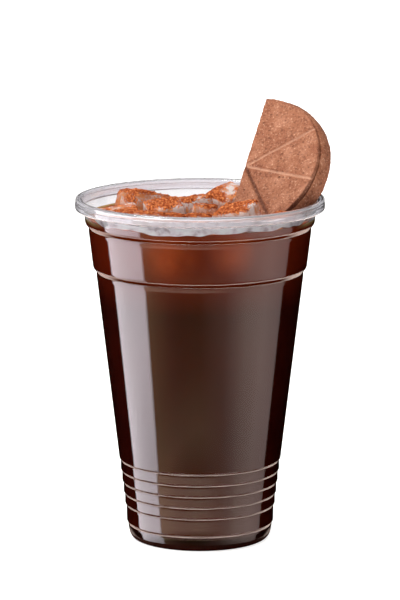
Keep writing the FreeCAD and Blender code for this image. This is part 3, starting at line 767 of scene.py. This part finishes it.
# Mirrored: the lit table in a narrow band well below level, brighter in front than behind, and a faint
# ceiling.
table_slant = add_node(tree, "Math", {
    "operation": "MULTIPLY_ADD", 0: axis.outputs["Y"], 1: -0.4, 2: axis.outputs["Z"]}).outputs[0]
table_place = add_node(tree, "MapRange", {
    "Value": table_slant, "From Min": -1.1, "From Max": 1.1}).outputs[0]
glow = add_node(tree, "ValToRGB", {"Fac": table_place, "stops": [
    (0.10, "#000000"), (0.13, "#e8ccc0"), (0.185, "#e8ccc0"), (0.21, "#000000"), (0.72, "#000000"),
    (0.9, "#383838")]}).outputs["Color"]
nearness = add_node(tree, "MapRange", {
    "Value": axis.outputs["Y"], "From Min": -0.5, "From Max": 0.9, "To Min": TABLE_LIGHT_FRONT,
    "To Max": TABLE_LIGHT_BACK}).outputs[0]
glow = add_node(tree, "VectorMath", {"operation": "SCALE", "Vector": glow, "Scale": nearness}).outputs[0]

# Mirrored: the warm dim room between the two boxes, in a thin low band and a broad one up to about level.
room = add_node(tree, "ValToRGB", {"Fac": rise, "stops": [
    (0.240, "#000000"), (0.262, "#86705a"), (0.272, "#665644"), (0.282, "#383026"), (0.300, "#000000"),
    (0.315, "#000000"), (0.34, "#c7a898"), (0.46, "#c7a898"), (0.51, "#3a2e28"),
    (0.56, "#000000")]}).outputs["Color"]
room_part = add_node(tree, "ValToRGB", {"Fac": bearing, "stops": [
    (0.315, "#000000"), (0.325, "#ffffff"), (0.50, "#ffffff"), (0.62, "#000000")]}).outputs["Color"]
room = add_node(tree, "Mix", {
    "data_type": "RGBA", "blend_type": "MULTIPLY", 0: 1.0, 6: room, 7: room_part}).outputs[2]
room = add_node(tree, "VectorMath", {"operation": "SCALE", "Vector": room, "Scale": ROOM_LIGHT}).outputs[0]
glow = add_node(tree, "VectorMath", {"operation": "ADD", 0: glow, 1: room}).outputs[0]
shine = add_node(tree, "VectorMath", {"operation": "ADD", 0: boxes, 1: glow}).outputs[0]

# Seen through: pale straight behind the cup, dark to the sides, which draws the plastic's edges dark, and
# white back towards the front. A flag on the right takes the light from there.
ahead = add_node(tree, "VectorMath", {
    "operation": "DOT_PRODUCT", 0: direction, 1: (0.0, 0.982, -0.187)}).outputs["Value"]
ahead = add_node(tree, "MapRange", {"Value": ahead, "From Min": -1.0, "From Max": 1.0}).outputs[0]
through = add_node(tree, "ValToRGB", {"Fac": ahead, "stops": [
    (0.0, "#ffffff"), (0.32, "#c6c6c6"), (0.50, "#2c2c2c"), (0.72, "#484848"), (0.86, "#898989"),
    (0.93, "#bcbcbc")]}).outputs["Color"]
flagged = add_node(tree, "MapRange", {
    "Value": axis.outputs["X"], "From Min": 0.2, "From Max": 0.85, "To Min": 2.0,
    "To Max": 0.35}).outputs[0]
through = add_node(tree, "VectorMath", {
    "operation": "SCALE", "Vector": through, "Scale": flagged}).outputs[0]

# The camera itself sees plain white, and matt surfaces are lit by an even pale grey.
path = add_node(tree, "LightPath", {})
soft = add_node(tree, "Mix", {
    "data_type": "RGBA", 0: path.outputs["Is Glossy Ray"], 6: linear("#e4e2e0"), 7: shine}).outputs[2]
soft = add_node(tree, "Mix", {
    "data_type": "RGBA", 0: path.outputs["Is Transmission Ray"], 6: soft, 7: through}).outputs[2]
colour = add_node(tree, "Mix", {
    "data_type": "RGBA", 0: path.outputs["Is Camera Ray"], 6: soft, 7: linear("#ffffff")}).outputs[2]
backdrop = add_node(tree, "Background", {"Color": colour, "Strength": 1.0})
add_node(tree, "OutputWorld", {"Surface": backdrop.outputs[0]})


def soft_light(name, place, aim, size, power):
    """A square area light at a place, turned to face a point."""
    lamp = bpy.data.lights.new(name, "AREA")
    lamp.size, lamp.energy = size, power
    light = bpy.data.objects.new(name, lamp)
    bpy.context.collection.objects.link(light)
    light.location = place
    gap = np.array(aim) - np.array(place)
    tip, spin = np.arctan2(np.hypot(gap[0], gap[1]), -gap[2]), np.arctan2(gap[1], gap[0]) - np.pi / 2
    light.rotation_euler = (tip, 0, spin)
    light.visible_camera = False


soft_light("overhead", (-0.45, -0.10, 1.0), (0, 0, 0.13), 0.4, 9.0)

camera_data = bpy.data.cameras.new("camera")
camera_data.lens = 246.0
camera_data.clip_end = 20.0
camera = bpy.data.objects.new("camera", camera_data)
bpy.context.collection.objects.link(camera)
camera.location = (0.0, -1.586, 0.397)
camera.rotation_euler = (np.radians(79.23), 0.0, 0.0)
bpy.context.scene.camera = camera
bpy.context.scene.view_settings.view_transform = "Standard"
